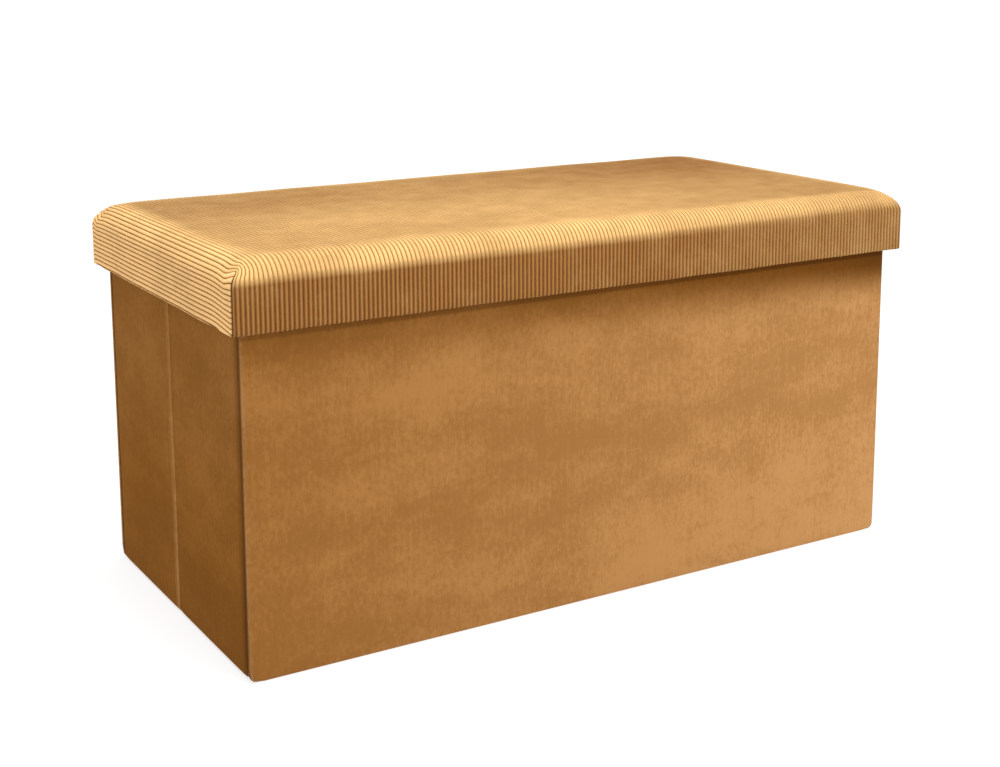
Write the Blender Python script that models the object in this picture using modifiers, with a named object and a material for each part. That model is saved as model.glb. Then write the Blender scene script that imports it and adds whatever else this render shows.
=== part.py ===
"""Upholstered storage bench that folds flat.

A box of thin boards wrapped in velvet stands under a padded lift-off lid. Front
and rear wall are one panel each, each end wall is two half panels. The end walls
crease inwards at their middle, so the front wall travels to the rear wall and
the two mitred floor boards swing up between them.

The frame: +X runs along the bench, -Y is its front and +Z is up. The origin is
on the ground, under the middle of the bench.
"""

import math

import bmesh
import bpy
from mathutils import Matrix, Vector

# Overall sizes, over the lid
LENGTH = 0.760
DEPTH = 0.380
HEIGHT = 0.380

# Lid
LID_OVERHANG = 0.0125       # the lid stands out past the body on each side
LID_SIDE = 0.065            # hem to the top of the seat
LID_EDGE_RADIUS = 0.024     # rounding along the top edges of the seat
LID_CORNER_RADIUS = 0.005   # rounding of the lid's upright corners, at the hem
LID_TOP_CORNER_RADIUS = 0.030   # the same corners where the top turns flat
CORDUROY = 0.0015
PAD_THICKNESS = 0.0225
SEAT_BOARD = 0.009
RIM_BOARD = 0.004

# Wall panels
VELVET = 0.0010
WALL_BOARD = 0.0035
LINING = 0.0008
PANEL_CORNER_RADIUS = 0.007
PANEL_EDGE_ROUND = 0.0016

# Floor
BASE_CLOTH = 0.0010
FLOOR_BOARD = 0.0035
TAB_WIDTH = 0.025
TAB_LENGTH = 0.050
TAB_OVERLAP = 0.012         # the stretch of the tab that is sewn to its board
TAB_THICKNESS = 0.0008

# Clearances
GAP = 0.0003                # between faces that touch on the bench
GROUND_CLEARANCE = 0.0004   # base cloth above the ground
CORNER_CLEARANCE = 0.0005   # half panel to the long wall that it is hinged to
CREASE_CLEARANCE = 0.0008   # half panel to half panel
CREASE_OFFSET = 0.0003      # crease axis outside the velvet
FOLD_CLEARANCE = 0.0006     # between neighbours in the folded pack
FLOOR_CLEARANCE = 0.0008    # floor board to floor board, and to the end walls

ROUND_STEPS = 4
EDGE_STEPS = 2
LID_STEPS = 5

# Places that follow from the sizes
BODY_LENGTH = LENGTH - 2 * LID_OVERHANG
BODY_DEPTH = DEPTH - 2 * LID_OVERHANG
PANEL = VELVET + GAP + WALL_BOARD + GAP + LINING
INNER_X = BODY_LENGTH / 2 - PANEL
INNER_Y = BODY_DEPTH / 2 - PANEL

SEAT_ROUNDING = min(LID_EDGE_RADIUS, CORDUROY + GAP + PAD_THICKNESS)
PAD_TOP = HEIGHT - CORDUROY - GAP
PAD_BOTTOM = PAD_TOP - PAD_THICKNESS
SEAT_BOTTOM = PAD_BOTTOM - GAP - SEAT_BOARD
BODY_TOP = SEAT_BOTTOM - GAP - LINING - GAP
HEM_Z = HEIGHT - LID_SIDE

CLOTH_TOP = GROUND_CLEARANCE + BASE_CLOTH
END_BOTTOM = CLOTH_TOP + GAP
FLOOR_TOP = CLOTH_TOP + GAP + FLOOR_BOARD + GAP + LINING
FLOOR_STACK = FLOOR_BOARD + GAP + LINING
FLOOR_HINGE_Y = INNER_Y - (TAB_THICKNESS + GAP + FOLD_CLEARANCE)
FLOOR_REACH = FLOOR_HINGE_Y - FLOOR_CLEARANCE / 2
CORNER_PIVOT_Y = FLOOR_HINGE_Y - FLOOR_STACK - FOLD_CLEARANCE
CREASE_X = BODY_LENGTH / 2 + CREASE_OFFSET

COLLECTION = "storage_bench"

COLOURS = {
    "corduroy": ((0.60, 0.33, 0.085, 1.0), 0.90, 0.0),
    "velvet": ((0.46, 0.22, 0.050, 1.0), 0.92, 0.0),
    "board": ((0.36, 0.22, 0.11, 1.0), 0.80, 0.0),
    "foam": ((0.83, 0.79, 0.62, 1.0), 0.95, 0.0),
    "lining": ((0.035, 0.033, 0.032, 1.0), 0.95, 0.0),
    "ribbon": ((0.05, 0.045, 0.04, 1.0), 0.75, 0.0),
}


def clear_scene():
    for old in list(bpy.data.objects):
        bpy.data.objects.remove(old, do_unlink=True)


def new_collection(name):
    collection = bpy.data.collections.new(name)
    bpy.context.scene.collection.children.link(collection)
    return collection


def new_material(name, finish):
    """A Principled material of its own for one node."""
    colour, roughness, metallic = COLOURS[finish]
    material = bpy.data.materials.new(name + "_" + finish)
    material.use_nodes = True
    shader = material.node_tree.nodes["Principled BSDF"]
    shader.inputs["Base Color"].default_value = colour
    shader.inputs["Roughness"].default_value = roughness
    shader.inputs["Metallic"].default_value = metallic
    material.diffuse_color = colour
    return material


def hinge(name, place, parent=None):
    """An empty on a joint's axis, which carries the pieces of one moving body."""
    empty = bpy.data.objects.new(name, None)
    empty.empty_display_size = 0.03
    collection.objects.link(empty)
    empty.parent = parent
    empty.location = Vector(place) - world_place(parent)
    return empty


def world_place(empty):
    """World place of an empty in the unturned chain of empties."""
    total = Vector((0.0, 0.0, 0.0))
    while empty is not None:
        total += empty.location
        empty = empty.parent
    return total


def add_node(name, mesh, finish, place, parent=None, turn=0.0):
    """One named piece: its mesh, its material, its place and what carries it."""
    node = bpy.data.objects.new(name, mesh)
    collection.objects.link(node)
    mesh.materials.append(new_material(name, finish))
    mesh.shade_smooth()
    mesh.set_sharp_from_angle(angle=math.radians(35.0))
    node.parent = parent
    node.location = Vector(place) - world_place(parent)
    node.rotation_euler = (0.0, 0.0, turn)
    return node


def mesh_from(bm, name):
    bmesh.ops.recalc_face_normals(bm, faces=bm.faces)
    mesh = bpy.data.meshes.new(name)
    bm.to_mesh(mesh)
    bm.free()
    return mesh


def box(size):
    """A box about the origin."""
    bm = bmesh.new()
    bmesh.ops.create_cube(bm, size=1.0, matrix=Matrix.Diagonal((*size, 1.0)))
    return bm


def edges_along(bm, axis):
    """The edges that run along one axis of an axis-aligned box."""
    return [e for e in bm.edges if abs((e.verts[1].co - e.verts[0].co).normalized()[axis]) > 0.999]


def round_edges(bm, edges, radius, steps):
    bmesh.ops.bevel(bm, geom=edges, offset=radius, offset_type="OFFSET", segments=steps,
                    profile=0.5, affect="EDGES", material=-1)


def plate_mesh(name, width, thickness, height, corner_radius):
    """An upright plate, thin along Y, with its four corners rounded."""
    bm = box((width, thickness, height))
    round_edges(bm, edges_along(bm, 1), corner_radius, ROUND_STEPS)
    return mesh_from(bm, name)


def tray_mesh(name, width, depth, height, corner_radius, edge_radius):
    """An open surface over a plate's outer face (-Y) and its four edges."""
    bm = box((width, depth, height))
    round_edges(bm, edges_along(bm, 1), corner_radius, ROUND_STEPS)
    outer = min(bm.faces, key=lambda face: face.calc_center_median().y)
    round_edges(bm, list(outer.edges), edge_radius, EDGE_STEPS)
    inner = max(bm.faces, key=lambda face: face.calc_center_median().y)
    bmesh.ops.delete(bm, geom=[inner], context="FACES_ONLY")
    return mesh_from(bm, name)


def thicken(node, thickness):
    """Gives an open surface its thickness, on its inner side."""
    shell = node.modifiers.new("Thickness", "SOLIDIFY")
    shell.thickness = thickness
    shell.offset = -1.0
    shell.use_even_offset = True


def ring(bm, half_x, half_y, radius, z):
    """A rounded rectangle of vertices at one height."""
    verts = []
    for quarter in range(4):
        sign_x = (1, -1, -1, 1)[quarter]
        sign_y = (1, 1, -1, -1)[quarter]
        for step in range(ROUND_STEPS + 1):
            angle = math.pi / 2 * (quarter + step / ROUND_STEPS)
            x = sign_x * (half_x - radius) + radius * math.cos(angle)
            y = sign_y * (half_y - radius) + radius * math.sin(angle)
            verts.append(bm.verts.new((x, y, z)))
    return verts


def join_rings(bm, low, high):
    for i in range(len(low)):
        j = (i + 1) % len(low)
        bm.faces.new((low[i], low[j], high[j], high[i]))


def pillow(bm, half_x, half_y, corner_radius, edge_radius, bottom, top):
    """Upright sides that roll over into a flat top, with corners that open out."""
    opening = LID_TOP_CORNER_RADIUS - corner_radius
    low = ring(bm, half_x, half_y, corner_radius, bottom)
    first = low
    shoulder = top - edge_radius
    for step in range(LID_STEPS + 1):
        angle = math.pi / 2 * step / LID_STEPS
        turned_in = 1 - math.cos(angle)
        inset = edge_radius * turned_in
        corner = corner_radius + opening * turned_in
        z = shoulder + edge_radius * math.sin(angle)
        if step == 0 and z - bottom < GAP:
            continue
        high = ring(bm, half_x - inset, half_y - inset, corner, z)
        join_rings(bm, low, high)
        low = high
    bm.faces.new(low)
    return first


def make_panel(name, width, bottom, centre, turn, parent):
    """A wall panel: a board, the velvet over it and the lining on its inside."""
    height = BODY_TOP - bottom
    middle = Vector((centre[0], centre[1], bottom + height / 2))
    turned = Matrix.Rotation(turn, 3, "Z")

    def across(y):
        return middle + turned @ Vector((0.0, y, 0.0))

    tray = tray_mesh(name + "_cover", width, PANEL, height, PANEL_CORNER_RADIUS, PANEL_EDGE_ROUND)
    cover = add_node(name + "_cover", tray, "velvet", middle, parent, turn)
    thicken(cover, VELVET)

    inset = VELVET + GAP
    radius = PANEL_CORNER_RADIUS - inset
    board_y = -PANEL / 2 + inset + WALL_BOARD / 2
    board = plate_mesh(name + "_board", width - 2 * inset, WALL_BOARD, height - 2 * inset, radius)
    add_node(name + "_board", board, "board", across(board_y), parent, turn)

    lining_y = PANEL / 2 - LINING / 2
    lining = plate_mesh(name + "_lining", width - 2 * inset, LINING, height - 2 * inset, radius)
    add_node(name + "_lining", lining, "lining", across(lining_y), parent, turn)


def make_walls():
    """The two long walls and the four half panels of the end walls."""
    wall_y = BODY_DEPTH / 2 - PANEL / 2
    make_panel("rear_wall", BODY_LENGTH, 0.0, (0.0, wall_y), math.pi, None)

    half_width = INNER_Y - CORNER_CLEARANCE - CREASE_CLEARANCE / 2
    half_y = CREASE_CLEARANCE / 2 + half_width / 2
    end_x = BODY_LENGTH / 2 - PANEL / 2
    hinges = {}
    for side, name in ((-1, "left"), (1, "right")):
        turn = side * math.pi / 2
        rear = hinge(name + "_rear_hinge", (side * INNER_X, CORNER_PIVOT_Y, 0.0))
        make_panel(name + "_end_rear", half_width, END_BOTTOM, (side * end_x, half_y), turn, rear)
        crease = hinge(name + "_crease", (side * CREASE_X, 0.0, 0.0), rear)
        make_panel(name + "_end_front", half_width, END_BOTTOM, (side * end_x, -half_y), turn, crease)
        hinges[name] = crease

    front = hinge("front_hinge", (-INNER_X, -CORNER_PIVOT_Y, 0.0), hinges["left"])
    make_panel("front_wall", BODY_LENGTH, 0.0, (0.0, -wall_y), 0.0, front)
    return front


def floor_mesh(name, thickness):
    """A mitred plate: its long edge lies on the hinge, its short edge at the middle.

    It runs from the origin towards -Y. The mitres are at 45 degrees, which is what
    the end walls leave free as they and the floor turn together.
    """
    long_edge = 2 * (INNER_X - FLOOR_CLEARANCE)
    bm = box((long_edge, FLOOR_REACH, thickness))
    for vert in bm.verts:
        if vert.co.y < 0:
            vert.co.x -= math.copysign(FLOOR_REACH, vert.co.x)
        vert.co.y -= FLOOR_REACH / 2
    return mesh_from(bm, name)


def make_floor(front_hinge):
    """Base cloth, the two floor boards with their linings, and the pull tab."""
    cloth = box((BODY_LENGTH, 2 * (INNER_Y - GAP), BASE_CLOTH))
    add_node("base_cloth", mesh_from(cloth, "base_cloth"), "lining",
             (0.0, 0.0, GROUND_CLEARANCE + BASE_CLOTH / 2))

    board_z = CLOTH_TOP + GAP + FLOOR_BOARD / 2
    lining_z = FLOOR_TOP - LINING / 2
    rear = hinge("floor_rear_hinge", (0.0, FLOOR_HINGE_Y, FLOOR_TOP))
    front = hinge("floor_front_hinge", (0.0, -FLOOR_HINGE_Y, FLOOR_TOP), front_hinge)
    for side, name, parent, turn in ((1, "rear", rear, 0.0), (-1, "front", front, math.pi)):
        y = side * FLOOR_HINGE_Y
        board = floor_mesh("floor_board_" + name, FLOOR_BOARD)
        add_node("floor_board_" + name, board, "board", (0.0, y, board_z), parent, turn)
        lining = floor_mesh("floor_lining_" + name, LINING)
        add_node("floor_lining_" + name, lining, "lining", (0.0, y, lining_z), parent, turn)

    tab = box((TAB_WIDTH, TAB_LENGTH, TAB_THICKNESS))
    tab_y = TAB_LENGTH / 2 - TAB_OVERLAP
    add_node("pull_tab", mesh_from(tab, "pull_tab"), "ribbon",
             (0.0, tab_y, FLOOR_TOP + GAP + TAB_THICKNESS / 2), front)


def make_lid():
    """Corduroy over a foam pad, on a board with a rim of four strips under it."""
    lid = hinge("lid_lift", (0.0, 0.0, BODY_TOP))
    half_x = LENGTH / 2
    half_y = DEPTH / 2
    inset = CORDUROY + GAP
    rim_face = inset + RIM_BOARD

    shell = bmesh.new()
    outer = pillow(shell, half_x, half_y, LID_CORNER_RADIUS, SEAT_ROUNDING, HEM_Z, HEIGHT)
    hem = ring(shell, half_x - rim_face, half_y - rim_face, LID_CORNER_RADIUS / 2, HEM_Z)
    join_rings(shell, hem, outer)
    cover = add_node("lid_cover", mesh_from(shell, "lid_cover"), "corduroy", (0.0, 0.0, 0.0), lid)
    thicken(cover, CORDUROY)

    pad = bmesh.new()
    corner = LID_CORNER_RADIUS - inset
    base = pillow(pad, half_x - inset, half_y - inset, corner, SEAT_ROUNDING - inset,
                  PAD_BOTTOM, PAD_TOP)
    pad.faces.new(base)
    add_node("lid_pad", mesh_from(pad, "lid_pad"), "foam", (0.0, 0.0, 0.0), lid)

    seat = box((LENGTH - 2 * inset, DEPTH - 2 * inset, SEAT_BOARD))
    round_edges(seat, edges_along(seat, 2), corner, ROUND_STEPS)
    add_node("lid_seat_board", mesh_from(seat, "lid_seat_board"), "board",
             (0.0, 0.0, SEAT_BOTTOM + SEAT_BOARD / 2), lid)

    rim_bottom = HEM_Z + CORDUROY + GAP
    rim_top = SEAT_BOTTOM - GAP
    rim_height = rim_top - rim_bottom
    rim_z = rim_bottom + rim_height / 2
    long_y = half_y - inset - RIM_BOARD / 2
    for side, name in ((-1, "front"), (1, "rear")):
        strip = box((LENGTH - 2 * inset, RIM_BOARD, rim_height))
        outer_edges = [e for e in edges_along(strip, 2) if e.verts[0].co.y * side > 0]
        round_edges(strip, outer_edges, corner, ROUND_STEPS)
        add_node("lid_rim_" + name, mesh_from(strip, "lid_rim_" + name), "board",
                 (0.0, side * long_y, rim_z), lid)
    short_x = half_x - inset - RIM_BOARD / 2
    short_length = DEPTH - 2 * rim_face - 2 * GAP
    for side, name in ((-1, "left"), (1, "right")):
        strip = box((RIM_BOARD, short_length, rim_height))
        add_node("lid_rim_" + name, mesh_from(strip, "lid_rim_" + name), "board",
                 (side * short_x, 0.0, rim_z), lid)

    under = box((LENGTH - 2 * rim_face - 2 * GAP, DEPTH - 2 * rim_face - 2 * GAP, LINING))
    add_node("lid_lining", mesh_from(under, "lid_lining"), "lining",
             (0.0, 0.0, SEAT_BOTTOM - GAP - LINING / 2), lid)


clear_scene()
collection = new_collection(COLLECTION)
front_hinge_empty = make_walls()
make_floor(front_hinge_empty)
make_lid()
bpy.context.view_layer.update()
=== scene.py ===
"""The looks of a folding storage bench: velvet walls under a corduroy lid."""

import math
from collections import namedtuple

import bmesh
import bpy
from mathutils import Matrix, Vector, noise


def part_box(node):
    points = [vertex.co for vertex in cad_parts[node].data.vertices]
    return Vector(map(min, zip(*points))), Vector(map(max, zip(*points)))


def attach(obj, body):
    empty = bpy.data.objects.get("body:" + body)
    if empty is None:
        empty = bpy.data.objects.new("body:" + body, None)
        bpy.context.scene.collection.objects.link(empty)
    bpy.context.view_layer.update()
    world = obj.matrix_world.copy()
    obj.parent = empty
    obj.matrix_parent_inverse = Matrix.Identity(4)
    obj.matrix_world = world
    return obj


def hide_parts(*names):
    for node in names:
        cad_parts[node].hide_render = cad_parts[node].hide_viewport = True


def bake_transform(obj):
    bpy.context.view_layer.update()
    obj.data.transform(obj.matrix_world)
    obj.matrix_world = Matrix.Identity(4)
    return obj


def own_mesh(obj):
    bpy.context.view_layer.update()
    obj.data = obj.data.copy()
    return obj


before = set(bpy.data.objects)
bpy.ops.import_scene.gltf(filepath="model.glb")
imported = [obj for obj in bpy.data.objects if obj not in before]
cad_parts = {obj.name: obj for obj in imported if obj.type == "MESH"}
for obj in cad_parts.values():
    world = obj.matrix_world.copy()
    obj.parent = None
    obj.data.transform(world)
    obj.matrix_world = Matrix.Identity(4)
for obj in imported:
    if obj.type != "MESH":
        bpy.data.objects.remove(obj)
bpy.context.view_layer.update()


# ---------------------------------------------------------------- Studio
# A white floor, lit from below, under an even sky and a wide soft sun, with a lamp
# above the near edge and one at the front right. The camera is at the front left.

CAMERA_PLACE = (-0.8507, -1.4000, 0.6288)
CAMERA_HEADING = math.radians(31.10)    # from +Y towards +X
CAMERA_TILT = math.radians(10.04)       # downwards
CAMERA_ROLL = math.radians(-0.16)
CAMERA_LENS = 57.3
CAMERA_RISE = -0.15                     # keeps the upright edges nearly parallel
SKY = (0.93, 0.95, 1.0)
SKY_STRENGTH = 0.52
SUN_STRENGTH = 1.75
FLOOR_SIZE = 160.0
FLOOR_COLOUR = (0.32, 0.32, 0.318)
FLOOR_GLOW = (0.75, 0.75, 0.75)         # keeps the shadow faint


def add_camera():
    data = bpy.data.cameras.new("studio_camera")
    data.sensor_width = 36.0
    data.lens = CAMERA_LENS
    data.shift_y = CAMERA_RISE
    data.clip_end = 60.0
    camera = bpy.data.objects.new("studio_camera", data)
    bpy.context.scene.collection.objects.link(camera)
    look = Vector((math.sin(CAMERA_HEADING) * math.cos(CAMERA_TILT),
                   math.cos(CAMERA_HEADING) * math.cos(CAMERA_TILT),
                   -math.sin(CAMERA_TILT)))
    turn = look.to_track_quat("-Z", "Y").to_matrix().to_4x4()
    roll = Matrix.Rotation(CAMERA_ROLL, 4, "Z")
    camera.matrix_world = Matrix.Translation(CAMERA_PLACE) @ turn @ roll
    bpy.context.scene.camera = camera


def add_lamp(name, kind, place, aim, power, colour):
    data = bpy.data.lights.new(name, kind)
    data.energy = power
    data.color = colour
    lamp = bpy.data.objects.new(name, data)
    bpy.context.scene.collection.objects.link(lamp)
    turn = (Vector(aim) - Vector(place)).to_track_quat("-Z", "Y").to_matrix().to_4x4()
    lamp.matrix_world = Matrix.Translation(place) @ turn
    return data


class Value:
    """A number that varies over a surface; sums and products add Math nodes."""

    def __init__(self, finish, socket):
        self.finish = finish
        self.socket = socket

    def maths(self, operation, first, second):
        made = self.finish.node("ShaderNodeMath", {"operation": operation}, {0: first, 1: second})
        return Value(self.finish, made.outputs[0])

    def __add__(self, other):
        return self.maths("ADD", self, other)

    def __radd__(self, other):
        return self.maths("ADD", other, self)

    def __sub__(self, other):
        return self.maths("SUBTRACT", self, other)

    def __rsub__(self, other):
        return self.maths("SUBTRACT", other, self)

    def __mul__(self, other):
        return self.maths("MULTIPLY", self, other)

    def __rmul__(self, other):
        return self.maths("MULTIPLY", other, self)

    def cyclic(self):
        """1 where the number is whole and 0 halfway between."""
        share = self.maths("FRACT", self, 0.0)
        return self.maths("ABSOLUTE", share * 2.0 - 1.0, 0.0)


class Finish:
    """One material, with a Principled shader that its maker feeds."""

    def __init__(self, name, **constants):
        self.material = bpy.data.materials.new(name)
        self.material.use_nodes = True
        self.tree = self.material.node_tree
        self.shader = self.tree.nodes["Principled BSDF"]
        for words, number in constants.items():
            self.shader.inputs[words.replace("_", " ")].default_value = number

    def feed(self, socket, value):
        if isinstance(value, Value):
            value = value.socket
        if isinstance(value, bpy.types.NodeSocket):
            self.tree.links.new(value, socket)
        else:
            socket.default_value = value

    def node(self, kind, settings=None, inputs=None):
        made = self.tree.nodes.new(kind)
        for name, setting in (settings or {}).items():
            setattr(made, name, setting)
        for key, value in (inputs or {}).items():
            self.feed(made.inputs[key], value)
        return made

    def place(self, stretch=(1.0, 1.0, 1.0)):
        """Object coordinates in metres, stretched."""
        coords = self.node("ShaderNodeTexCoord")
        scaled = self.node("ShaderNodeMapping", None, {0: coords.outputs["Object"], 3: stretch})
        return scaled.outputs[0]

    def noise(self, scale, detail=2.0, stretch=(1.0, 1.0, 1.0), roughness=0.5):
        made = self.node("ShaderNodeTexNoise", None, {"Vector": self.place(stretch), "Scale": scale,
                                                      "Detail": detail, "Roughness": roughness})
        return Value(self, made.outputs[0])

    def attribute(self, name):
        made = self.node("ShaderNodeAttribute", {"attribute_name": name})
        return Value(self, made.outputs["Fac"])

    def between(self, value, low, high):
        """0 below low, 1 above high."""
        made = self.node("ShaderNodeMapRange", {"interpolation_type": "SMOOTHSTEP"},
                         {0: value, 1: low, 2: high, 3: 0.0, 4: 1.0})
        return Value(self, made.outputs[0])

    def mix(self, mask, first, second):
        """first where mask is 0 and second where it is 1."""
        made = self.node("ShaderNodeMix", {"data_type": "RGBA"}, {0: mask, 6: first, 7: second})
        return made.outputs[2]

    def colour(self, value):
        self.feed(self.shader.inputs["Base Color"], value)

    def bump(self, height, distance, strength=1.0):
        made = self.node("ShaderNodeBump", None, {"Height": height, "Distance": distance,
                                                  "Strength": strength})
        self.feed(self.shader.inputs["Normal"], made.outputs[0])


def new_piece(name, bm):
    """Makes an object at the origin from a finished bmesh."""
    mesh = bpy.data.meshes.new(name)
    bm.to_mesh(mesh)
    bm.free()
    mesh.shade_smooth()
    piece = bpy.data.objects.new(name, mesh)
    bpy.context.scene.collection.objects.link(piece)
    return piece


def add_floor():
    bm = bmesh.new()
    bmesh.ops.create_grid(bm, x_segments=2, y_segments=2, size=FLOOR_SIZE / 2)
    floor = new_piece("studio_floor", bm)
    paper = Finish("studio_paper", Roughness=0.9)
    paper.shader.inputs["Base Color"].default_value = (*FLOOR_COLOUR, 1.0)
    paper.shader.inputs["Emission Color"].default_value = (*FLOOR_GLOW, 1.0)
    paper.shader.inputs["Emission Strength"].default_value = 1.0
    floor.data.materials.append(paper.material)


add_camera()
add_floor()
sky = bpy.data.worlds.new("studio_sky")
sky.use_nodes = True
sky.node_tree.nodes["Background"].inputs[0].default_value = (*SKY, 1.0)
sky.node_tree.nodes["Background"].inputs[1].default_value = SKY_STRENGTH
bpy.context.scene.world = sky
bpy.context.scene.view_settings.view_transform = "Standard"
sun = add_lamp("sun", "SUN", (0.2, -0.3, 4.0), (0.0, 0.0, 0.0), SUN_STRENGTH, (1.0, 0.985, 0.96))
sun.angle = math.radians(50.0)
above = add_lamp("lamp_above", "AREA", (-0.25, -0.42, 1.25), (-0.12, -0.12, 0.3), 6.0, (1.0, 0.97, 0.93))
above.size = 0.6
front = add_lamp("lamp_front_right", "AREA", (2.0, -2.1, 0.9), (0.3, -0.15, 0.15), 24.0, (1.0, 0.95, 0.88))
front.size = 1.2


# ---------------------------------------------------------------- Lid cover
# Wide-wale corduroy pulled over the pad and the rim boards: a main sheet whose ribs
# run front to back and hang straight down the long sides, and a flap over each end,
# whose ribs lie level. Stitched seams join the three at the corners.

lid_low, lid_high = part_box("lid_cover")
SEAT_Z = lid_high.z
HEM_Z = lid_low.z
LID_X = lid_high.x
LID_Y = lid_high.y
RIBS = 174                              # across the bench's length
RIB_PITCH = 2 * LID_X / RIBS
RIB_HEIGHT = 0.0012
CLOTH = 0.0007                          # the cloth under its pile
EDGE_RADIUS = 0.024
FLAT_X = LID_X - EDGE_RADIUS
FLAT_Y = LID_Y - EDGE_RADIUS
SHOULDER_Z = SEAT_Z - EDGE_RADIUS
HEM_RADIUS = 0.0018
LIP = 0.0040                            # turned under the rim board
CROWN = 0.0012                          # the pad swells this much at its middle
SEAM_ANGLE = math.radians(42.0)         # the seam starts here on the long side's rounding
SEAM_TUCK = 0.0015                      # the stitches pull the cloth in this far,
SEAM_REACH = 0.0040                     # over this much of it on each side,
TUCK_ANGLE = 0.30                       # and fully this much of a turn below its upper end
SEAM_LEAN = 0.0045                      # the seam's upper end leans in over the long side,
LEAN_REACH = 0.040                      # over this much of the girth
CORNER_PULL = 0.0046                    # how far the end ribs dip towards a front seam,
REAR_PULL = 0.3                         # the share of that at a rear seam,
CORNER_PULL_REACH = 0.055               # how far off the dip begins,
CORNER_PULL_DOWN = 0.018                # and how far down the flap it is at its full depth
CORNER_SLACK = 0.0035                   # how far the seat gives way at its corners,
CORNER_SLACK_REACH = 0.045              # from this far off
STUFFING_WAVES = (14.0, 0.0004)         # how many to a metre, about, and how high
SEAM_SHADE_REACH = 0.0022                    # painted shade lies this near to a seam,
FLAT_REACH = 0.0025                     # and the end ribs have lost their height
UNDERLAP = 0.0010                       # the end flap starts under the main sheet
TOP_FIT = 0.020                         # and follows its line at first
SEAT_LIGHTNESS = 0.54                         # painted lightness, standing for light and shade: on the seat,
SHOULDER_LIGHTNESS = 0.72                     # on the roundings of the long sides,
END_LIGHTNESS = 0.93                          # beside the ends
FLAP_LIGHTNESS = 0.92                         # and on the end flaps
HEM_WAVES = (22.0, 0.0005)
HEM_FRAY = (600.0, 0.0007)              # rib by rib, on the long sides' hems
QUARTER = math.pi / 2
SIDE_DROP = SHOULDER_Z - HEM_Z - HEM_RADIUS                 # straight part of a long side
END_GIRTH = FLAT_X + EDGE_RADIUS * QUARTER - LID_X + SIDE_DROP      # a flap, down to its hem
RIB_STEPS = (0.0, 0.1, 0.36, 0.64, 0.9)     # mesh lines over one rib, closest in its grooves
SEAT_SHARES = (0.0, 0.2, 0.4, 0.58, 0.72, 0.83, 0.91, 0.97)
DROP_SHARES = (0.2, 0.4, 0.6, 0.8, 1.0)
# A line along the lid: place on the flat seat, angle of the rounding, drop below the
# rounding, angle of the hem, and how far it is turned under.
Station = namedtuple("Station", "flat_y turned below hem lip", defaults=(0.0, 0.0, 0.0, 0.0))
SeamStation = namedtuple("SeamStation", "length place out tuck")


def dress(piece, material, body):
    piece.data.materials.append(material)
    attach(piece, body)


def smooth(x):
    x = min(max(x, 0.0), 1.0)
    return x * x * (3 - 2 * x)


def rib(share):
    """Height of a rib over its own width, 0 in the grooves and 1 on its back."""
    across = 2 * (share % 1.0) - 1
    return math.sqrt(max(1 - across * across, 0.0))


def together(a, b, turned):
    """Two drops that meet at a corner, which the stuffing keeps full."""
    return (a ** 4 + b ** 4) ** 0.25 - 0.35 * min(a, b) * math.cos(turned)


def across_lid(s):
    """The end-to-end section: place along X and drop below the seat, from the girth."""
    turned = max(abs(s) - FLAT_X, 0.0) / EDGE_RADIUS
    if turned == 0.0:
        return s, 0.0
    return math.copysign(FLAT_X + EDGE_RADIUS * math.sin(turned), s), EDGE_RADIUS * (1 - math.cos(turned))


def crown(x, y):
    """The seat is highest in its middle."""
    return -CROWN * (1 - (1 - (x / LID_X) ** 2) * (1 - (y / LID_Y) ** 2))


def slack(x, y):
    """The seat gives way a little towards each of its four corners."""
    near_end = smooth((abs(x) - LID_X + CORNER_SLACK_REACH) / CORNER_SLACK_REACH)
    near_side = smooth((abs(y) - LID_Y + CORNER_SLACK_REACH) / CORNER_SLACK_REACH)
    return -CORNER_SLACK * near_end * near_side


def waver(x, y, z, scale, size):
    return size * noise.noise(Vector((x, y, z)) * scale)


def pile_up(point, out, height):
    """Raises the cloth by its rib and adds the slow waves of soft stuffing."""
    return point + out * (RIB_HEIGHT * (height - 1) + waver(*point, *STUFFING_WAVES))


def side_stations():
    """Lines from the seat's middle over one long side, round its hem and under its rim."""
    stations = [Station(FLAT_Y * share) for share in SEAT_SHARES]
    stations += [Station(FLAT_Y, QUARTER * step / 8) for step in range(9)]
    stations += [Station(FLAT_Y, QUARTER, SIDE_DROP * share) for share in DROP_SHARES]
    stations += [Station(FLAT_Y, QUARTER, SIDE_DROP, QUARTER * step / 3) for step in (1, 2, 3)]
    return stations + [Station(FLAT_Y, QUARTER, SIDE_DROP, QUARTER, LIP)]


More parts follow.
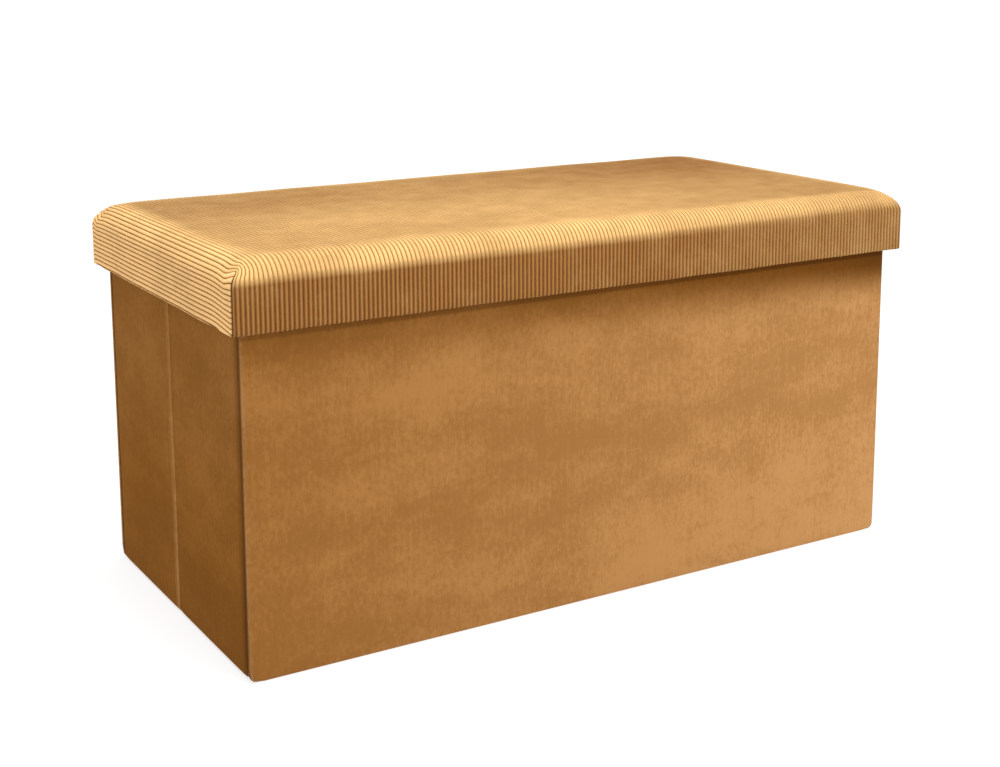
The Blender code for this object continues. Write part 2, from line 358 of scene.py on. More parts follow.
def long_side_point(s, at):
    """A place on the main sheet, girth s from its middle, and the way out of the cloth there."""
    x, drop_x = across_lid(s)
    lean = smooth(at.turned / SEAM_ANGLE) * smooth((QUARTER - at.turned) / 0.75)
    lean *= smooth((abs(s) - LID_X + LEAN_REACH) / LEAN_REACH)
    x -= math.copysign(SEAM_LEAN * lean, s)
    x += (s - x) * smooth((at.turned - SEAM_ANGLE) / (QUARTER - SEAM_ANGLE))
    drop_x *= (1 - 0.25 * lean) * (1 - smooth((at.turned - 1.0) / 0.57))
    drop_y = EDGE_RADIUS * (1 - math.cos(at.turned))
    y = at.flat_y + EDGE_RADIUS * math.sin(at.turned)
    z = SEAT_Z - together(drop_x, drop_y, at.turned) - at.below
    z += (crown(x, y) + slack(s, y)) * math.cos(at.turned)
    z -= HEM_RADIUS * math.sin(at.hem)
    y -= HEM_RADIUS * (1 - math.cos(at.hem)) + at.lip
    tilt = (1 - math.sin(at.turned)) * drop_x / EDGE_RADIUS
    out_x = math.copysign(math.sin(math.acos(max(1 - tilt, 0.0))), s) if tilt else 0.0
    out = Vector((out_x, math.sin(at.turned) * math.cos(at.hem), math.cos(at.turned) - math.sin(at.hem)))
    out.normalize()
    gone = smooth(1 - (LID_X - abs(s)) / SEAM_REACH) * smooth((at.turned - SEAM_ANGLE) / TUCK_ANGLE)
    y -= SEAM_TUCK * gone * gone
    x -= math.copysign(SEAM_TUCK * gone * gone, s)
    seam_out = Vector((math.copysign(1.0, s), math.sin(at.turned), 0.6 * math.cos(at.turned))).normalized()
    return Vector((x, y, z)), out.lerp(seam_out, gone).normalized()


def long_side_light(s, y, at):
    """Painted light and shade on the main sheet: a painted highlight on the roundings, painted shade where
    the long sides hang down, and painted gradients along the length and towards the rear.
    """
    right = smooth((s / LID_X + 0.2) / 1.2)
    shoulder = smooth((at.flat_y + at.turned * EDGE_RADIUS - FLAT_Y + 0.014) / 0.026)
    ends = smooth((abs(s) - FLAT_X + 0.016) / 0.030)
    rear = smooth(y / LID_Y + 0.4)
    left = smooth(-2 * s / LID_X)
    painted_lightness = SEAT_LIGHTNESS - 0.24 * rear - 0.25 * right - 0.02 * left
    painted_lightness += (SHOULDER_LIGHTNESS - 0.26 * right - painted_lightness) * shoulder
    painted_lightness += (END_LIGHTNESS - 0.20 * right - painted_lightness) * ends * (1 - 0.6 * shoulder)
    shaded = smooth((at.turned - 1.18 + 0.18 * right) / 0.42)
    return painted_lightness * (1 - shaded) + 0.18 * right * (at.turned > 0)


def finish_sheet(name, bm, thickness, offset=-1.0):
    """A sheet as a piece, thickened inwards, or both ways where offset is 0."""
    piece = new_piece(name, bm)
    shell = piece.modifiers.new("Cloth", "SOLIDIFY")
    shell.thickness = thickness
    shell.offset = offset
    return piece


def rib_and_light_layers(bm):
    """The rib's phase, the painted lightness, and the painted shade."""
    return [bm.verts.layers.float.new(name) for name in ("phase", "tone_and_light", "painted_shade")]


def main_sheet():
    """The seat and both long sides, folded out of a flat grid."""
    half = side_stations()
    rows = [(-1, at) for at in reversed(half[1:])] + [(1, at) for at in half]
    columns = [(i + share) / RIBS for i in range(RIBS) for share in RIB_STEPS] + [1.0]
    bm = bmesh.new()
    phase, tone_and_light, painted_shade = rib_and_light_layers(bm)
    grid = bmesh.ops.create_grid(bm, x_segments=len(columns) - 1, y_segments=len(rows) - 1, size=0.5)
    for vert in grid["verts"]:
        share = columns[round((vert.co.x + 0.5) * (len(columns) - 1))]
        side, at = rows[round((vert.co.y + 0.5) * (len(rows) - 1))]
        s = (2 * share - 1) * LID_X
        point, out = long_side_point(s, at)
        point = pile_up(point, out, rib(share * RIBS))
        if at.below > 0.0:
            fall = at.below / (SHOULDER_Z - HEM_Z) * smooth((LID_X - abs(s)) / SEAM_REACH)
            uneven = waver(point.x, side, 0.0, *HEM_WAVES) + waver(s, side, 3.0, *HEM_FRAY)
            point.z += fall * uneven
        vert.co = (point.x, point.y * side, point.z)
        vert[phase] = share * RIBS
        # painted light and shade on the main sheet
        vert[tone_and_light] = long_side_light(s, vert.co.y, at)
        # painted shade along the corner seams, below the seam's upper end
        below_seam_top = smooth((at.turned - SEAM_ANGLE + 0.1) / 0.2)
        vert[painted_shade] = smooth(1 - (LID_X - abs(s)) / SEAM_SHADE_REACH) * below_seam_top
    return finish_sheet("lid_cover_main", bm, CLOTH)


def seam_line():
    """The corner seam from its upper end down to the hem."""
    rows = [Station(FLAT_Y, SEAM_ANGLE + (QUARTER - SEAM_ANGLE) * i / 16) for i in range(17)]
    rows += [Station(FLAT_Y, QUARTER, SIDE_DROP * i / 16) for i in range(1, 17)]
    line, length = [], 0.0
    for at in rows:
        place, out = long_side_point(LID_X, at)
        length += (place - line[-1].place).length if line else 0.0
        tuck = SEAM_TUCK * smooth((at.turned - SEAM_ANGLE) / TUCK_ANGLE) ** 2
        line.append(SeamStation(length, place, out, tuck))
    return line


def on_seam(share):
    """The seam's place, way out and tuck at a share of its length."""
    want = share * SEAM[-1].length
    for a, b in zip(SEAM, SEAM[1:]):
        if want <= b.length + 1e-9:
            part = (want - a.length) / (b.length - a.length)
            out = a.out.lerp(b.out, part).normalized()
            return a.place.lerp(b.place, part), out, a.tuck + (b.tuck - a.tuck) * part
    return SEAM[-1].place.copy(), SEAM[-1].out.copy(), SEAM[-1].tuck


def top_edge(y):
    """Where the main sheet meets the end flap, from the middle out to the seam."""
    beyond = max(abs(y) - FLAT_Y, 0.0)
    at = Station(min(abs(y), FLAT_Y), math.asin(min(beyond / EDGE_RADIUS, 1.0)))
    return long_side_point(LID_X, at)[0]


def end_point(down, y):
    """The end's own section, before it is fitted to its neighbours, and how far it has turned."""
    s = LID_X + down
    turned = min((s - FLAT_X) / EDGE_RADIUS, QUARTER)
    straight = max(s - FLAT_X - EDGE_RADIUS * QUARTER, 0.0)
    x = FLAT_X + EDGE_RADIUS * math.sin(turned)
    return Vector((x, y, SEAT_Z - EDGE_RADIUS * (1 - math.cos(turned)) - straight)), turned


def fitted_end_point(down, near):
    """The same, fitted to the main sheet above it and, as near goes to 1, to the seam beside it.

    Also the seam's way out there, how far off it is, and how firmly its stitches hold.
    """
    corner, seam_out, tuck = on_seam(down / END_GIRTH)
    pull = Vector((tuck, tuck, 0.0))
    corner += pull
    top_y = SEAM[0].place.y
    point, turned = end_point(down, near * corner.y)
    above = 1 - smooth(down / TOP_FIT)
    own_corner = end_point(down, corner.y)[0] + (top_edge(top_y) - end_point(0.0, top_y)[0]) * above
    point += (top_edge(near * top_y) - end_point(0.0, near * top_y)[0]) * above
    point += (corner - own_corner) * smooth((near - 0.90) / 0.10)
    from_seam = (1 - near) * corner.y
    gone = smooth(1 - from_seam / SEAM_REACH)
    point -= pull * gone * gone
    return point, turned, seam_out, from_seam, gone


def end_rows():
    """Lines down the flap: how far down, hem angle, lip, and how far it is tucked under."""
    lines = round(END_GIRTH / RIB_PITCH * 8)
    rows = [(0.0, 0.0, 0.0, UNDERLAP)] + [(END_GIRTH * i / lines, 0.0, 0.0, 0.0) for i in range(lines + 1)]
    rows += [(END_GIRTH, QUARTER * step / 3, 0.0, 0.0) for step in (1, 2, 3)]
    return rows + [(END_GIRTH, QUARTER, LIP, 0.0)]


def end_columns():
    """Lines across the flap from -1 to 1, closest beside the seams."""
    half = [0.66 * i / 9 for i in range(9)] + [1 - 0.34 * (1 - i / 30) ** 1.3 for i in range(31)]
    return [-share for share in reversed(half[1:])] + half


def end_sheet(name, side):
    """The flap over one end. Its ribs lie level and dip where they are sewn in."""
    rows, columns = end_rows(), end_columns()
    bm = bmesh.new()
    phase, tone_and_light, painted_shade = rib_and_light_layers(bm)
    grid = bmesh.ops.create_grid(bm, x_segments=len(columns) - 1, y_segments=len(rows) - 1, size=0.5)
    for vert in grid["verts"]:
        across = columns[round((vert.co.x + 0.5) * (len(columns) - 1))]
        down, hem, lip, tuck = rows[round((vert.co.y + 0.5) * (len(rows) - 1))]
        point, turned, seam_out, from_seam, gone = fitted_end_point(down, abs(across))
        pulled = max(1 - max(from_seam - SEAM_TUCK, 0.0) / CORNER_PULL_REACH, 0.0) ** 2
        dip = CORNER_PULL * pulled * smooth(down / CORNER_PULL_DOWN) * (1.0 if across < 0 else REAR_PULL)
        share = (down - dip) / RIB_PITCH
        level = math.sin(turned) * math.cos(hem)
        upright = math.cos(turned) * math.cos(hem) - math.sin(hem)
        out = Vector((level, 0.0, upright)).normalized().lerp(seam_out, gone).normalized()
        point.z -= HEM_RADIUS * math.sin(hem)
        point.x -= HEM_RADIUS * (1 - math.cos(hem)) + lip
        height = rib(share) + (1 - rib(share)) * math.sin(hem)
        point = pile_up(point, out, height * (1 - smooth(1 - from_seam / FLAT_REACH)))
        point.z += (down / END_GIRTH) ** 2 * (1 - gone) * waver(side, point.y * across, 0.0, *HEM_WAVES)
        point -= out * tuck
        point.x -= 2 * tuck
        vert.co = (point.x * side, math.copysign(point.y, across), point.z)
        vert[phase] = share
        # painted light: the end flaps are lighter, more so on their upper rounding and beside the seams
        vert[tone_and_light] = FLAP_LIGHTNESS + 0.1 * math.cos(turned) + 0.10 * smooth(1 - from_seam / 0.12)
        # painted shade along the seams
        vert[painted_shade] = smooth(1 - from_seam / SEAM_SHADE_REACH)
    if side > 0:
        bmesh.ops.reverse_faces(bm, faces=bm.faces)
    return finish_sheet(name, bm, CLOTH)


CORDUROY_SHADES = (                     # painted light and shade on its ground, painted highlights on its crests, painted shade in its grooves: shaded, half lit, lit
    ((0.250, 0.098, 0.020, 1.0), (0.500, 0.288, 0.100, 1.0), (0.960, 0.550, 0.195, 1.0)),
    ((0.370, 0.172, 0.046, 1.0), (0.570, 0.345, 0.135, 1.0), (0.975, 0.615, 0.275, 1.0)),
    ((0.160, 0.060, 0.013, 1.0), (0.400, 0.215, 0.068, 1.0), (0.240, 0.095, 0.021, 1.0)),
)
# painted shade along the seams
CORDUROY_SEAM_SHADE = (0.110, 0.040, 0.009, 1.0)


def corduroy():
    """Corduroy with painted light: pale on the roundings and ends, painted shade on the hanging sides,
    painted highlights on the crests, painted shade in the grooves and along the seams.
    """
    cloth = Finish("corduroy", Roughness=0.85, Sheen_Weight=0.08, Sheen_Roughness=0.45,
                   Sheen_Tint=(1.0, 0.75, 0.45, 1.0), Specular_IOR_Level=0.15)
    valley = cloth.attribute("phase").cyclic()
    clouds = cloth.noise(7.0, 4.0, (1.0, 1.6, 1.6), 0.6)
    fibres = cloth.noise(700.0, 3.0, (1.0, 0.5, 0.5), 0.6)
    rough_valley = valley + 0.45 * (fibres - 0.5)
    blotches = cloth.noise(34.0, 3.0, (1.0, 1.0, 1.0), 0.6)
    tone_and_light = cloth.attribute("tone_and_light") * (0.60 + 0.8 * clouds)
    tone_and_light = tone_and_light + 0.35 * (fibres - 0.5) + 0.45 * (blotches - 0.5)
    # painted light and shade, from the painted lightness of each place
    shades = [cloth.mix(tone_and_light * 2.0 - 1.0, cloth.mix(tone_and_light * 2.0, shaded, half_lit), lit)
              for shaded, half_lit, lit in CORDUROY_SHADES]
    ground, crest_highlight, groove_shade = shades
    # painted highlights on the crests
    ribs = cloth.mix(cloth.between(rough_valley, 0.15, 0.45), crest_highlight, ground)
    # painted shade in the grooves
    with_groove_shade = cloth.mix(cloth.between(rough_valley, 0.66, 0.90), ribs, groove_shade)
    # painted shade along the seams
    cloth.colour(cloth.mix(cloth.attribute("painted_shade"), with_groove_shade, CORDUROY_SEAM_SHADE))
    cloth.bump(fibres, 0.0004, 0.6)
    return cloth.material


SEAM = seam_line()
corduroy_finish = corduroy()
lid_sheets = {main_sheet(): (0.760, 0.503), end_sheet("lid_cover_left", -1): (0.356, 0.058),
              end_sheet("lid_cover_right", 1): (0.356, 0.058)}
for piece, flat in lid_sheets.items():
    dress(piece, corduroy_finish, "lid")
    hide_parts("lid_cover")


# ---------------------------------------------------------------- Lid stitching
# The four corner seams are closed with short dark stitches, which start on the
# rounding and run down to the hem.

STITCH = 0.0021
STITCH_GAP = 0.0013
STITCH_RADIUS = 0.00045


def seam_stitches():
    path = [at.place - at.out * RIB_HEIGHT for at in SEAM]
    bm = bmesh.new()
    walked, wanted = 0.0, 0.0
    for a, b in zip(path, path[1:]):
        length = (b - a).length
        while wanted < walked + length:
            middle = a.lerp(b, (wanted - walked) / length)
            along = (b - a).to_track_quat("Z", "X").to_matrix().to_4x4()
            for side_x in (-1, 1):
                for side_y in (-1, 1):
                    mirror = Matrix.Diagonal((side_x, side_y, 1.0, 1.0))
                    bmesh.ops.create_cone(bm, cap_ends=True, segments=8, radius1=STITCH_RADIUS,
                                          radius2=STITCH_RADIUS, depth=STITCH,
                                          matrix=mirror @ Matrix.Translation(middle) @ along)
            wanted += STITCH + STITCH_GAP
        walked += length
    bmesh.ops.recalc_face_normals(bm, faces=bm.faces)
    return new_piece("lid_stitches", bm)


thread = Finish("thread", Roughness=0.8)
thread.colour(thread.mix(thread.noise(700.0), (0.055, 0.022, 0.007, 1.0), (0.12, 0.05, 0.018, 1.0)))
dress(seam_stitches(), thread.material, "lid")


# ---------------------------------------------------------------- Seat and rim
# Under the cover lie a slab of foam, crowned at its middle, and a frame of thin
# boards that hangs over the walls. A black cloth closes them from below.

FOAM_CLEAR = 0.001                      # between the foam and the cover: at its sides,
FOAM_TOP_CLEAR = 0.0012                 # above it,
FOAM_SINK = 0.0006                      # and once more over its whole height
FOAM_ROUND = 0.0205


def foam_pad():
    low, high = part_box("lid_pad")
    low += Vector((FOAM_CLEAR, FOAM_CLEAR, 0.0))
    high -= Vector((FOAM_CLEAR, FOAM_CLEAR, FOAM_TOP_CLEAR))
    size = high - low
    bm = bmesh.new()
    bmesh.ops.create_cube(bm, size=1.0, matrix=Matrix.Diagonal((size.x, size.y, size.z, 1.0)))
    upper = [e for e in bm.edges if e.verts[0].co.z + e.verts[1].co.z > 0 or
             abs(e.verts[0].co.z - e.verts[1].co.z) > size.z / 2]
    bmesh.ops.bevel(bm, geom=upper, offset=min(FOAM_ROUND, size.z * 0.95), segments=6, profile=0.5,
                    affect="EDGES", material=-1)
    bmesh.ops.subdivide_edges(bm, edges=[e for e in bm.edges if e.calc_length() > 0.05], cuts=11,
                              use_grid_fill=True)
    bm.transform(Matrix.Translation((low + high) / 2))
    for vert in bm.verts:
        height = (vert.co.z - low.z) / size.z
        vert.co.z += height * (crown(vert.co.x, vert.co.y) + slack(vert.co.x, vert.co.y) - FOAM_SINK)
    bmesh.ops.recalc_face_normals(bm, faces=bm.faces)
    return new_piece("lid_foam", bm)


def fibreboard():
    board = Finish("fibreboard", Roughness=0.75)
    chips = board.noise(220.0, 3.0)
    board.colour(board.mix(chips, (0.22, 0.135, 0.072, 1.0), (0.36, 0.25, 0.15, 1.0)))
    board.bump(chips, 0.0003, 0.4)
    return board.material


foam = Finish("foam", Roughness=0.95)
cells = foam.noise(500.0, 2.0)
foam.colour(foam.mix(cells, (0.70, 0.66, 0.52, 1.0), (0.86, 0.83, 0.72, 1.0)))
foam.bump(cells, 0.0005, 0.5)
pad = foam_pad()
dress(pad, foam.material, "lid")
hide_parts("lid_pad")

board_finish = fibreboard()
for node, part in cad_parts.items():
    if "board" in node or "_rim_" in node:
        part.data.materials.clear()
        part.data.materials.append(board_finish)


# ---------------------------------------------------------------- Black cloth
# A thin black non-woven cloth lines the lid, the walls and the folding floor, and
# another closes the bottom. Each is a sheet with the faint waves of glued cloth.

LINING = 0.0005
LINING_INSET = 0.0052                   # the long walls' cloth stops short of the corners
LINING_WAVES = (30.0, 0.0002)
LINING_MESH = 0.012
LINED = ("front_wall", "rear_wall", "left_end_rear", "left_end_front", "right_end_rear",
         "right_end_front", "lid")
BASE_INSET = 0.008                      # the base cloth is clear of the end walls,
BASE_SINK = 0.0002                      # and of the floor boards above it
BASE_WAVES = (30.0, 0.0001)


def cloth_panel(name, low, high, across, mitre=0.0, waves=LINING_WAVES):
    """A thin sheet in the middle of a box, facing along one axis. mitre narrows its far edge."""
    middle = (low + high) / 2
    size = high - low
    a, b = [i for i in range(3) if i != across]
    bm = bmesh.new()
    lines_a, lines_b = (max(round(size[i] / LINING_MESH), 2) for i in (a, b))
    bmesh.ops.create_grid(bm, x_segments=lines_a, y_segments=lines_b, size=0.5)
    for vert in bm.verts:
        u, v = vert.co.x, vert.co.y
        point = Vector((0.0, 0.0, 0.0))
        narrow = (0.5 + math.copysign(v, v * mitre)) * abs(mitre) if mitre else 0.0
        point[a] = middle[a] + u * (size[a] - 2 * narrow)
        point[b] = middle[b] + v * size[b]
        point[across] = middle[across]
        edge = min(0.5 - abs(u), 0.5 - abs(v)) * 8
        point[across] += min(edge, 1.0) * waver(*point, *waves)
        vert.co = point
    return finish_sheet(name, bm, LINING, 0.0)


def black_cloth():
    cloth = Finish("black_cloth", Roughness=0.8, Specular_IOR_Level=0.25)
    dots = cloth.node("ShaderNodeTexVoronoi", {"distance": "CHEBYCHEV"},
                      {"Vector": cloth.place(), "Scale": 420.0, "Randomness": 0.15})
    dimple = Value(cloth, dots.outputs["Distance"])
    fluff = cloth.noise(160.0, 3.0)
    cloth.colour(cloth.mix(fluff * cloth.between(dimple, 0.1, 0.5), (0.012, 0.012, 0.013, 1.0),
                           (0.045, 0.045, 0.047, 1.0)))
    cloth.bump(dimple, 0.0003, 0.5)
    return cloth.material


black_finish = black_cloth()
for node in LINED:
    low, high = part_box(node + "_lining")
    size = high - low
    across = min(range(3), key=lambda i: size[i])
    flat = sorted((size[i] for i in range(3) if i != across), reverse=True)
    if node in ("front_wall", "rear_wall"):
        low.x += LINING_INSET
        high.x -= LINING_INSET
    lining = cloth_panel(node + "_black_cloth", low, high, across)
    dress(lining, black_finish, node)
    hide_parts(node + "_lining")

for end, side in (("rear", 1), ("front", -1)):
    low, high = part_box("floor_lining_" + end)
    long, deep = high.x - low.x, high.y - low.y
    lining = cloth_panel("floor_black_cloth_" + end, low, high, 2, -side * deep)
    dress(lining, black_finish, "floor_" + end)
    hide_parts("floor_lining_" + end)

low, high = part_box("base_cloth")
low.x += BASE_INSET
high.x -= BASE_INSET
low.z -= BASE_SINK
high.z -= BASE_SINK
base = cloth_panel("base_black_cloth", low, high, 2, waves=BASE_WAVES)
dress(base, black_finish, "rear_wall")
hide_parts("base_cloth")
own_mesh(base)


# ---------------------------------------------------------------- Wall covers
# Six velvet covers, one over each board. The velvet has a short pile with a very
# fine upright rib, and turns round the board's edges, which makes them soft.

VELVET = 0.0009
VELVET_CORNER = 0.008                   # roundings of a face's corners,
FOLD_CORNER = 0.003                     # and of those beside the fold of an end
OUTER_EDGE = 0.0034                     # roundings over the board's edges,
FOLD_EDGE = 0.0022                      # and over those beside the fold
FULLNESS = 0.0006                       # the face is fuller in its middle,
BOARD_WAVES = (9.0, 0.0003)             # and slowly wavy
VELVET_MESH = 0.010
VELVET_WRAP = 0.012                     # added to the flat size, for the turned edges
WALL_LINES = 34
HEM_SHADOW_START = -0.0092                     # a painted shadow on the long walls starts here, below the hem,
HEM_SHADOW_SOFT = 0.0028                       # and fully from this much higher
HEM_SHADOW_LINES = (HEM_SHADOW_START, -0.0078, -0.0064, -0.0045, 0.0)     # mesh lines beside the hem
LID_SHADE_START = 0.085                      # painted shade on the long walls runs from here up to the lid,
LID_SHADE_SOFT = 0.055                       # fully from this much higher
EDGE_HIGHLIGHT = 0.0036                       # a painted highlight lies this near to an upright edge
PANELS = {                              # turn about Z, and the roundings of the upright edges
    "front_wall": (0.0, OUTER_EDGE, OUTER_EDGE),
    "rear_wall": (math.pi, OUTER_EDGE, OUTER_EDGE),
    "left_end_rear": (-QUARTER, OUTER_EDGE, FOLD_EDGE),
    "left_end_front": (-QUARTER, FOLD_EDGE, OUTER_EDGE),
    "right_end_rear": (QUARTER, FOLD_EDGE, OUTER_EDGE),
    "right_end_front": (QUARTER, OUTER_EDGE, FOLD_EDGE),
}
VELVET_DARK = ((0.225, 0.083, 0.012, 1.0), (0.405, 0.196, 0.064, 1.0))      # painted shade, painted light
VELVET_PALE = ((0.290, 0.111, 0.018, 1.0), (0.525, 0.273, 0.102, 1.0))
# painted shade in corners, creases and under the hem
VELVET_SHADE = (0.085, 0.028, 0.005, 1.0)
Panel = namedtuple("Panel", "middle width depth height turn long")


def velvet():
    cloth = Finish("velvet", Roughness=0.9, Sheen_Weight=0.04, Sheen_Roughness=0.4,
                   Sheen_Tint=(1.0, 0.66, 0.34, 1.0), Specular_IOR_Level=0.0)
    clouds = cloth.noise(3.6, 5.0, (1.0, 1.0, 2.2), 0.6)
    wisps = cloth.noise(22.0, 4.0, (0.5, 0.5, 1.0), 0.65)
    ribs = cloth.noise(420.0, 1.0, (1.0, 1.0, 0.05))
    fibres = cloth.noise(330.0, 4.0, (1.0, 1.0, 0.6), 0.75)
    tone_and_light = clouds * 0.38 + wisps * 0.22 + ribs * 0.07 + fibres * 0.33
    # painted light and shade, from the painted lightness of each place
    dark = cloth.mix(cloth.attribute("tone_and_light"), *VELVET_DARK)
    pale = cloth.mix(cloth.attribute("tone_and_light"), *VELVET_PALE)
    face = cloth.mix(cloth.between(tone_and_light, 0.425, 0.575), dark, pale)
    # painted shade in corners, creases and under the hem
    cloth.colour(cloth.mix(cloth.attribute("painted_shade"), face, VELVET_SHADE))
    cloth.bump(fibres, 0.0003, 0.5)
    return cloth.material


def wrap_profile(half, depth, radius_low, radius_high, steps):
    """Stations across a wrapped board: (place from the middle, how far behind the face)."""
    def edge(radius):
        turns = [QUARTER * i / 6 for i in range(7)]
        curve = [(half - radius + radius * math.sin(t), radius * (1 - math.cos(t))) for t in turns]
        return curve + [(half, depth)]
    low = [(-place, fall) for place, fall in reversed(edge(radius_low))]
    inner_low, inner_high = -half + radius_low, half - radius_high
    middle = [(inner_low + (inner_high - inner_low) * i / steps, 0.0) for i in range(1, steps)]
    return low + middle + edge(radius_high)


def measure_panel(node, turn):
    """A panel's own sizes, where its width runs along X or Y and its depth is its thickness."""
    low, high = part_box(node + "_cover")
    size = high - low
    long = node.endswith("_wall")
    width, depth = (size.x, size.y) if long else (size.y, size.x)
    return Panel((low + high) / 2, width, depth, size.z, turn, long)


def long_wall_light(panel, across, up, fall):
    """Painted lightness and painted shade at one place on a front or rear wall: lighter towards the right,
    painted shade under the lid that deepens to the right, a painted shadow under the lid's hem, a painted
    highlight near the upright edges and painted shade on the front wall's corner roundings.
    """
    share = (panel.middle.x + across * math.cos(panel.turn)) / panel.width + 0.5
    # painted shade under the lid
    lid_shade = smooth((up - panel.height / 2 + LID_SHADE_START) / LID_SHADE_SOFT)
    # painted highlight near the upright edges
    edge = smooth(1 - (panel.width / 2 - abs(across)) / EDGE_HIGHLIGHT)
    # painted shadow under the lid's hem
    hem_shadow = smooth((up + panel.middle.z - HEM_Z - HEM_SHADOW_START) / HEM_SHADOW_SOFT)
    # painted shade on the front wall's corner roundings
    corner_shade = smooth((fall - 0.0020) / 0.0020) * (panel.middle.y < 0)
    tone_and_light = 0.30 + 0.74 * share - (0.18 + 1.15 * share ** 1.5) * lid_shade + 0.40 * edge
    return tone_and_light, max(0.8 * corner_shade, (0.35 + 0.6 * share) * hem_shadow, 0.80 * share ** 2 * lid_shade)


def end_half_light(panel, across, up, at_fold):
    """The same for half an end wall: painted shade over the end, deeper towards the bottom, a painted
    highlight on the rear lip of the fold, and painted shade on its front lip and beside the front corner.
    """
    from_edge = panel.width / 2 - abs(across)
    low_down = smooth(-2 * up / panel.height)
    # painted shade: the ends are darker than the long walls, more so towards the bottom
    tone_and_light = 0.19 - 0.14 * smooth(0.5 - 2 * up / panel.height)
    # painted shade, darker towards the bottom
    painted_shade = 0.20 * low_down
    if not at_fold:
        # painted shade beside the front corner
        painted_shade += 0.8 * smooth(1 - from_edge / 0.009) * (panel.middle.y < 0)
    elif panel.middle.y > 0:
        # painted highlight on the rear lip of the fold
        tone_and_light += (0.50 + 0.6 * low_down) * smooth((EDGE_HIGHLIGHT - from_edge) / 0.0020)
    else:
        # painted shade on the front lip of the fold
        painted_shade += 0.35 * smooth(1 - from_edge / 0.003)
    return tone_and_light, painted_shade


def panel_cover(node, turn, edge_low, edge_high):
    """A velvet skin pulled round a board, open towards the lining."""
    panel = measure_panel(node, turn)
    middle, width, depth, height = panel[:4]
    columns = wrap_profile(width / 2, depth, edge_low, edge_high, round(width / VELVET_MESH))
    lines = wrap_profile(height / 2, depth, OUTER_EDGE, OUTER_EDGE, WALL_LINES)
    lines += [(HEM_Z - middle.z + step, 0.0) for step in HEM_SHADOW_LINES]
    lines.sort(key=lambda station: station[0])
    seed = turn + (width if panel.long else depth)      # no two walls are wavy alike
    bm = bmesh.new()
    tone_and_light = bm.verts.layers.float.new("tone_and_light")
    painted_shade = bm.verts.layers.float.new("painted_shade")
    grid = bmesh.ops.create_grid(bm, x_segments=len(columns) - 1, y_segments=len(lines) - 1, size=0.5)
    for vert in grid["verts"]:
        across, fall_a = columns[round((vert.co.x + 0.5) * (len(columns) - 1))]
        up, fall_b = lines[round((vert.co.y + 0.5) * (len(lines) - 1))]
        at_fold = (edge_high if across > 0 else edge_low) == FOLD_EDGE
        corner = FOLD_CORNER if at_fold else VELVET_CORNER
        a, b = abs(across) - width / 2 + corner, abs(up) - height / 2 + corner
        if a > 0 and b > 0:
            shorter = max(a, b) / math.hypot(a, b)
            across = math.copysign(width / 2 - corner + a * shorter, across)
            up = math.copysign(height / 2 - corner + b * shorter, up)
        face = 1 - max(fall_a, fall_b) / depth
        inset = FULLNESS * (abs(2 * across / width) ** 6 + abs(2 * up / height) ** 6) / 2
        inset -= waver(across, up, seed, *BOARD_WAVES) * face
        fall = min((fall_a ** 3 + fall_b ** 3) ** (1 / 3), depth)
        vert.co = (across, -depth / 2 + fall + max(inset, 0.0) * face, up)
        if panel.long:
            vert[tone_and_light], vert[painted_shade] = long_wall_light(panel, across, up, fall_a)
        else:
            vert[tone_and_light], vert[painted_shade] = end_half_light(panel, across, up, at_fold)
    bm.transform(Matrix.Translation(middle) @ Matrix.Rotation(turn, 4, "Z"))
    return finish_sheet(node + "_velvet", bm, VELVET)


STRIP_WIDTH = 0.0036
STRIP_SHORT = 0.004                     # it stops this far from the top and the bottom
STRIP_SINK = 0.0011                     # it lies this far behind the two faces,
STRIP_SAG = 0.0004                      # and is hollow towards its middle
STRIP = 0.0006


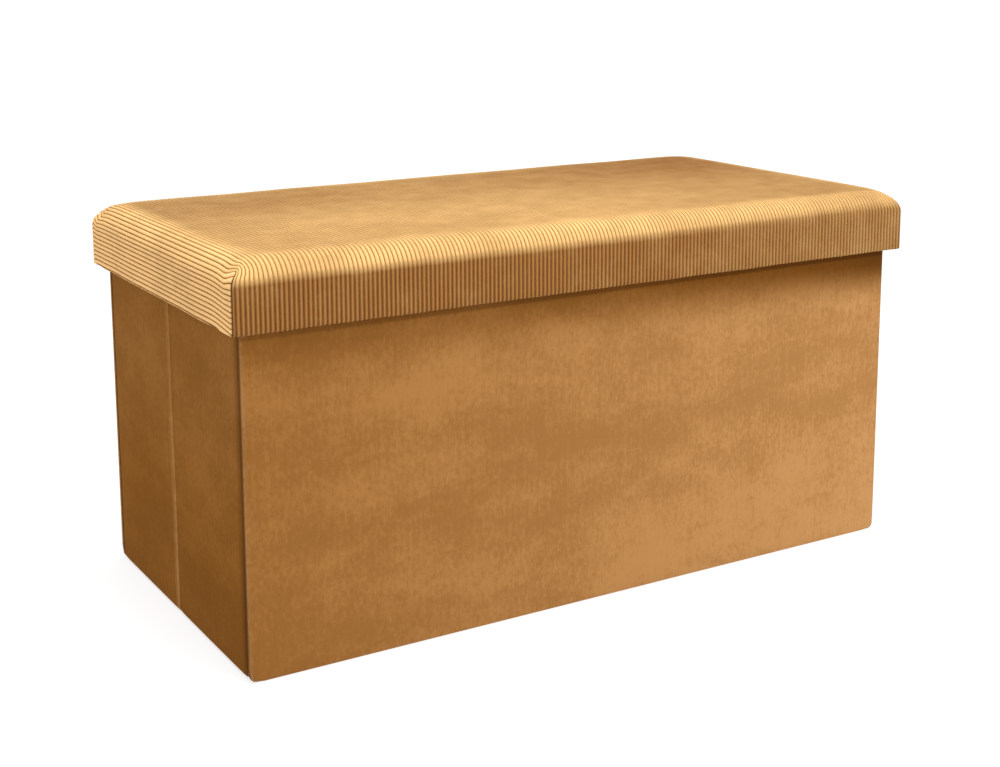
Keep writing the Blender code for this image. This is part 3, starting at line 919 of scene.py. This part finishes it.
def crease_strip(name, side):
    """The velvet that carries on across the fold of an end, sunk between its two halves."""
    low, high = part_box(name + "_rear_cover")
    x = side * (max(abs(low.x), abs(high.x)) - STRIP_SINK)
    bm = bmesh.new()
    bmesh.ops.create_grid(bm, x_segments=6, y_segments=60, size=0.5)
    for vert in bm.verts:
        across, up = vert.co.x * STRIP_WIDTH, vert.co.y + 0.5
        sag = STRIP_SAG * (1 - (2 * across / STRIP_WIDTH) ** 2)
        vert.co = (x - side * sag, across, low.z + STRIP_SHORT + up * (high.z - low.z - 2 * STRIP_SHORT))
    if side > 0:
        bmesh.ops.reverse_faces(bm, faces=bm.faces)
    return finish_sheet(name + "_crease", bm, STRIP)


velvet_finish = velvet()
for name, side in (("left_end", -1), ("right_end", 1)):
    strip = crease_strip(name, side)
    # the strip has no lightness attribute, so it takes the velvet's shaded tone: painted shade in the fold
    strip.data.materials.append(velvet_finish)
    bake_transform(strip)

covers = {node: panel_cover(node, *panel) for node, panel in PANELS.items()}
for node, cover in covers.items():
    dress(cover, velvet_finish, node)
    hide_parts(node + "_cover")
    low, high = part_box(node + "_cover")
    flat = (max(high.x - low.x, high.y - low.y) + VELVET_WRAP, high.z - low.z + VELVET_WRAP)


# ---------------------------------------------------------------- Pull tab
# A flat woven ribbon on top of the floor, sewn to the free edge of the front flap. It
# reaches over the rear flap, and a pull on it lifts the floor.

RIBBON = 0.0006
RIBBON_SINK = 0.00005                   # below the top of its place


def pull_tab():
    low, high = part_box("pull_tab")
    size = high - low
    bm = bmesh.new()
    bmesh.ops.create_grid(bm, x_segments=10, y_segments=24, size=0.5)
    for vert in bm.verts:
        u, v = vert.co.x, vert.co.y
        vert.co = (low.x + (u + 0.5) * size.x, low.y + (v + 0.5) * size.y, high.z - RIBBON_SINK)
    return finish_sheet("pull_ribbon", bm, RIBBON)


def ribbon():
    cloth = Finish("ribbon", Roughness=0.7)
    ridges = cloth.node("ShaderNodeTexWave", {"bands_direction": "Y"},
                        {"Vector": cloth.place(), "Scale": 180.0, "Distortion": 0.3})
    ridge = Value(cloth, ridges.outputs["Fac"])
    cloth.colour(cloth.mix(ridge, (0.016, 0.016, 0.017, 1.0), (0.05, 0.05, 0.052, 1.0)))
    cloth.bump(ridge, 0.0002, 0.6)
    return cloth.material


tab = pull_tab()
dress(tab, ribbon(), "floor_front")
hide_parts("pull_tab")
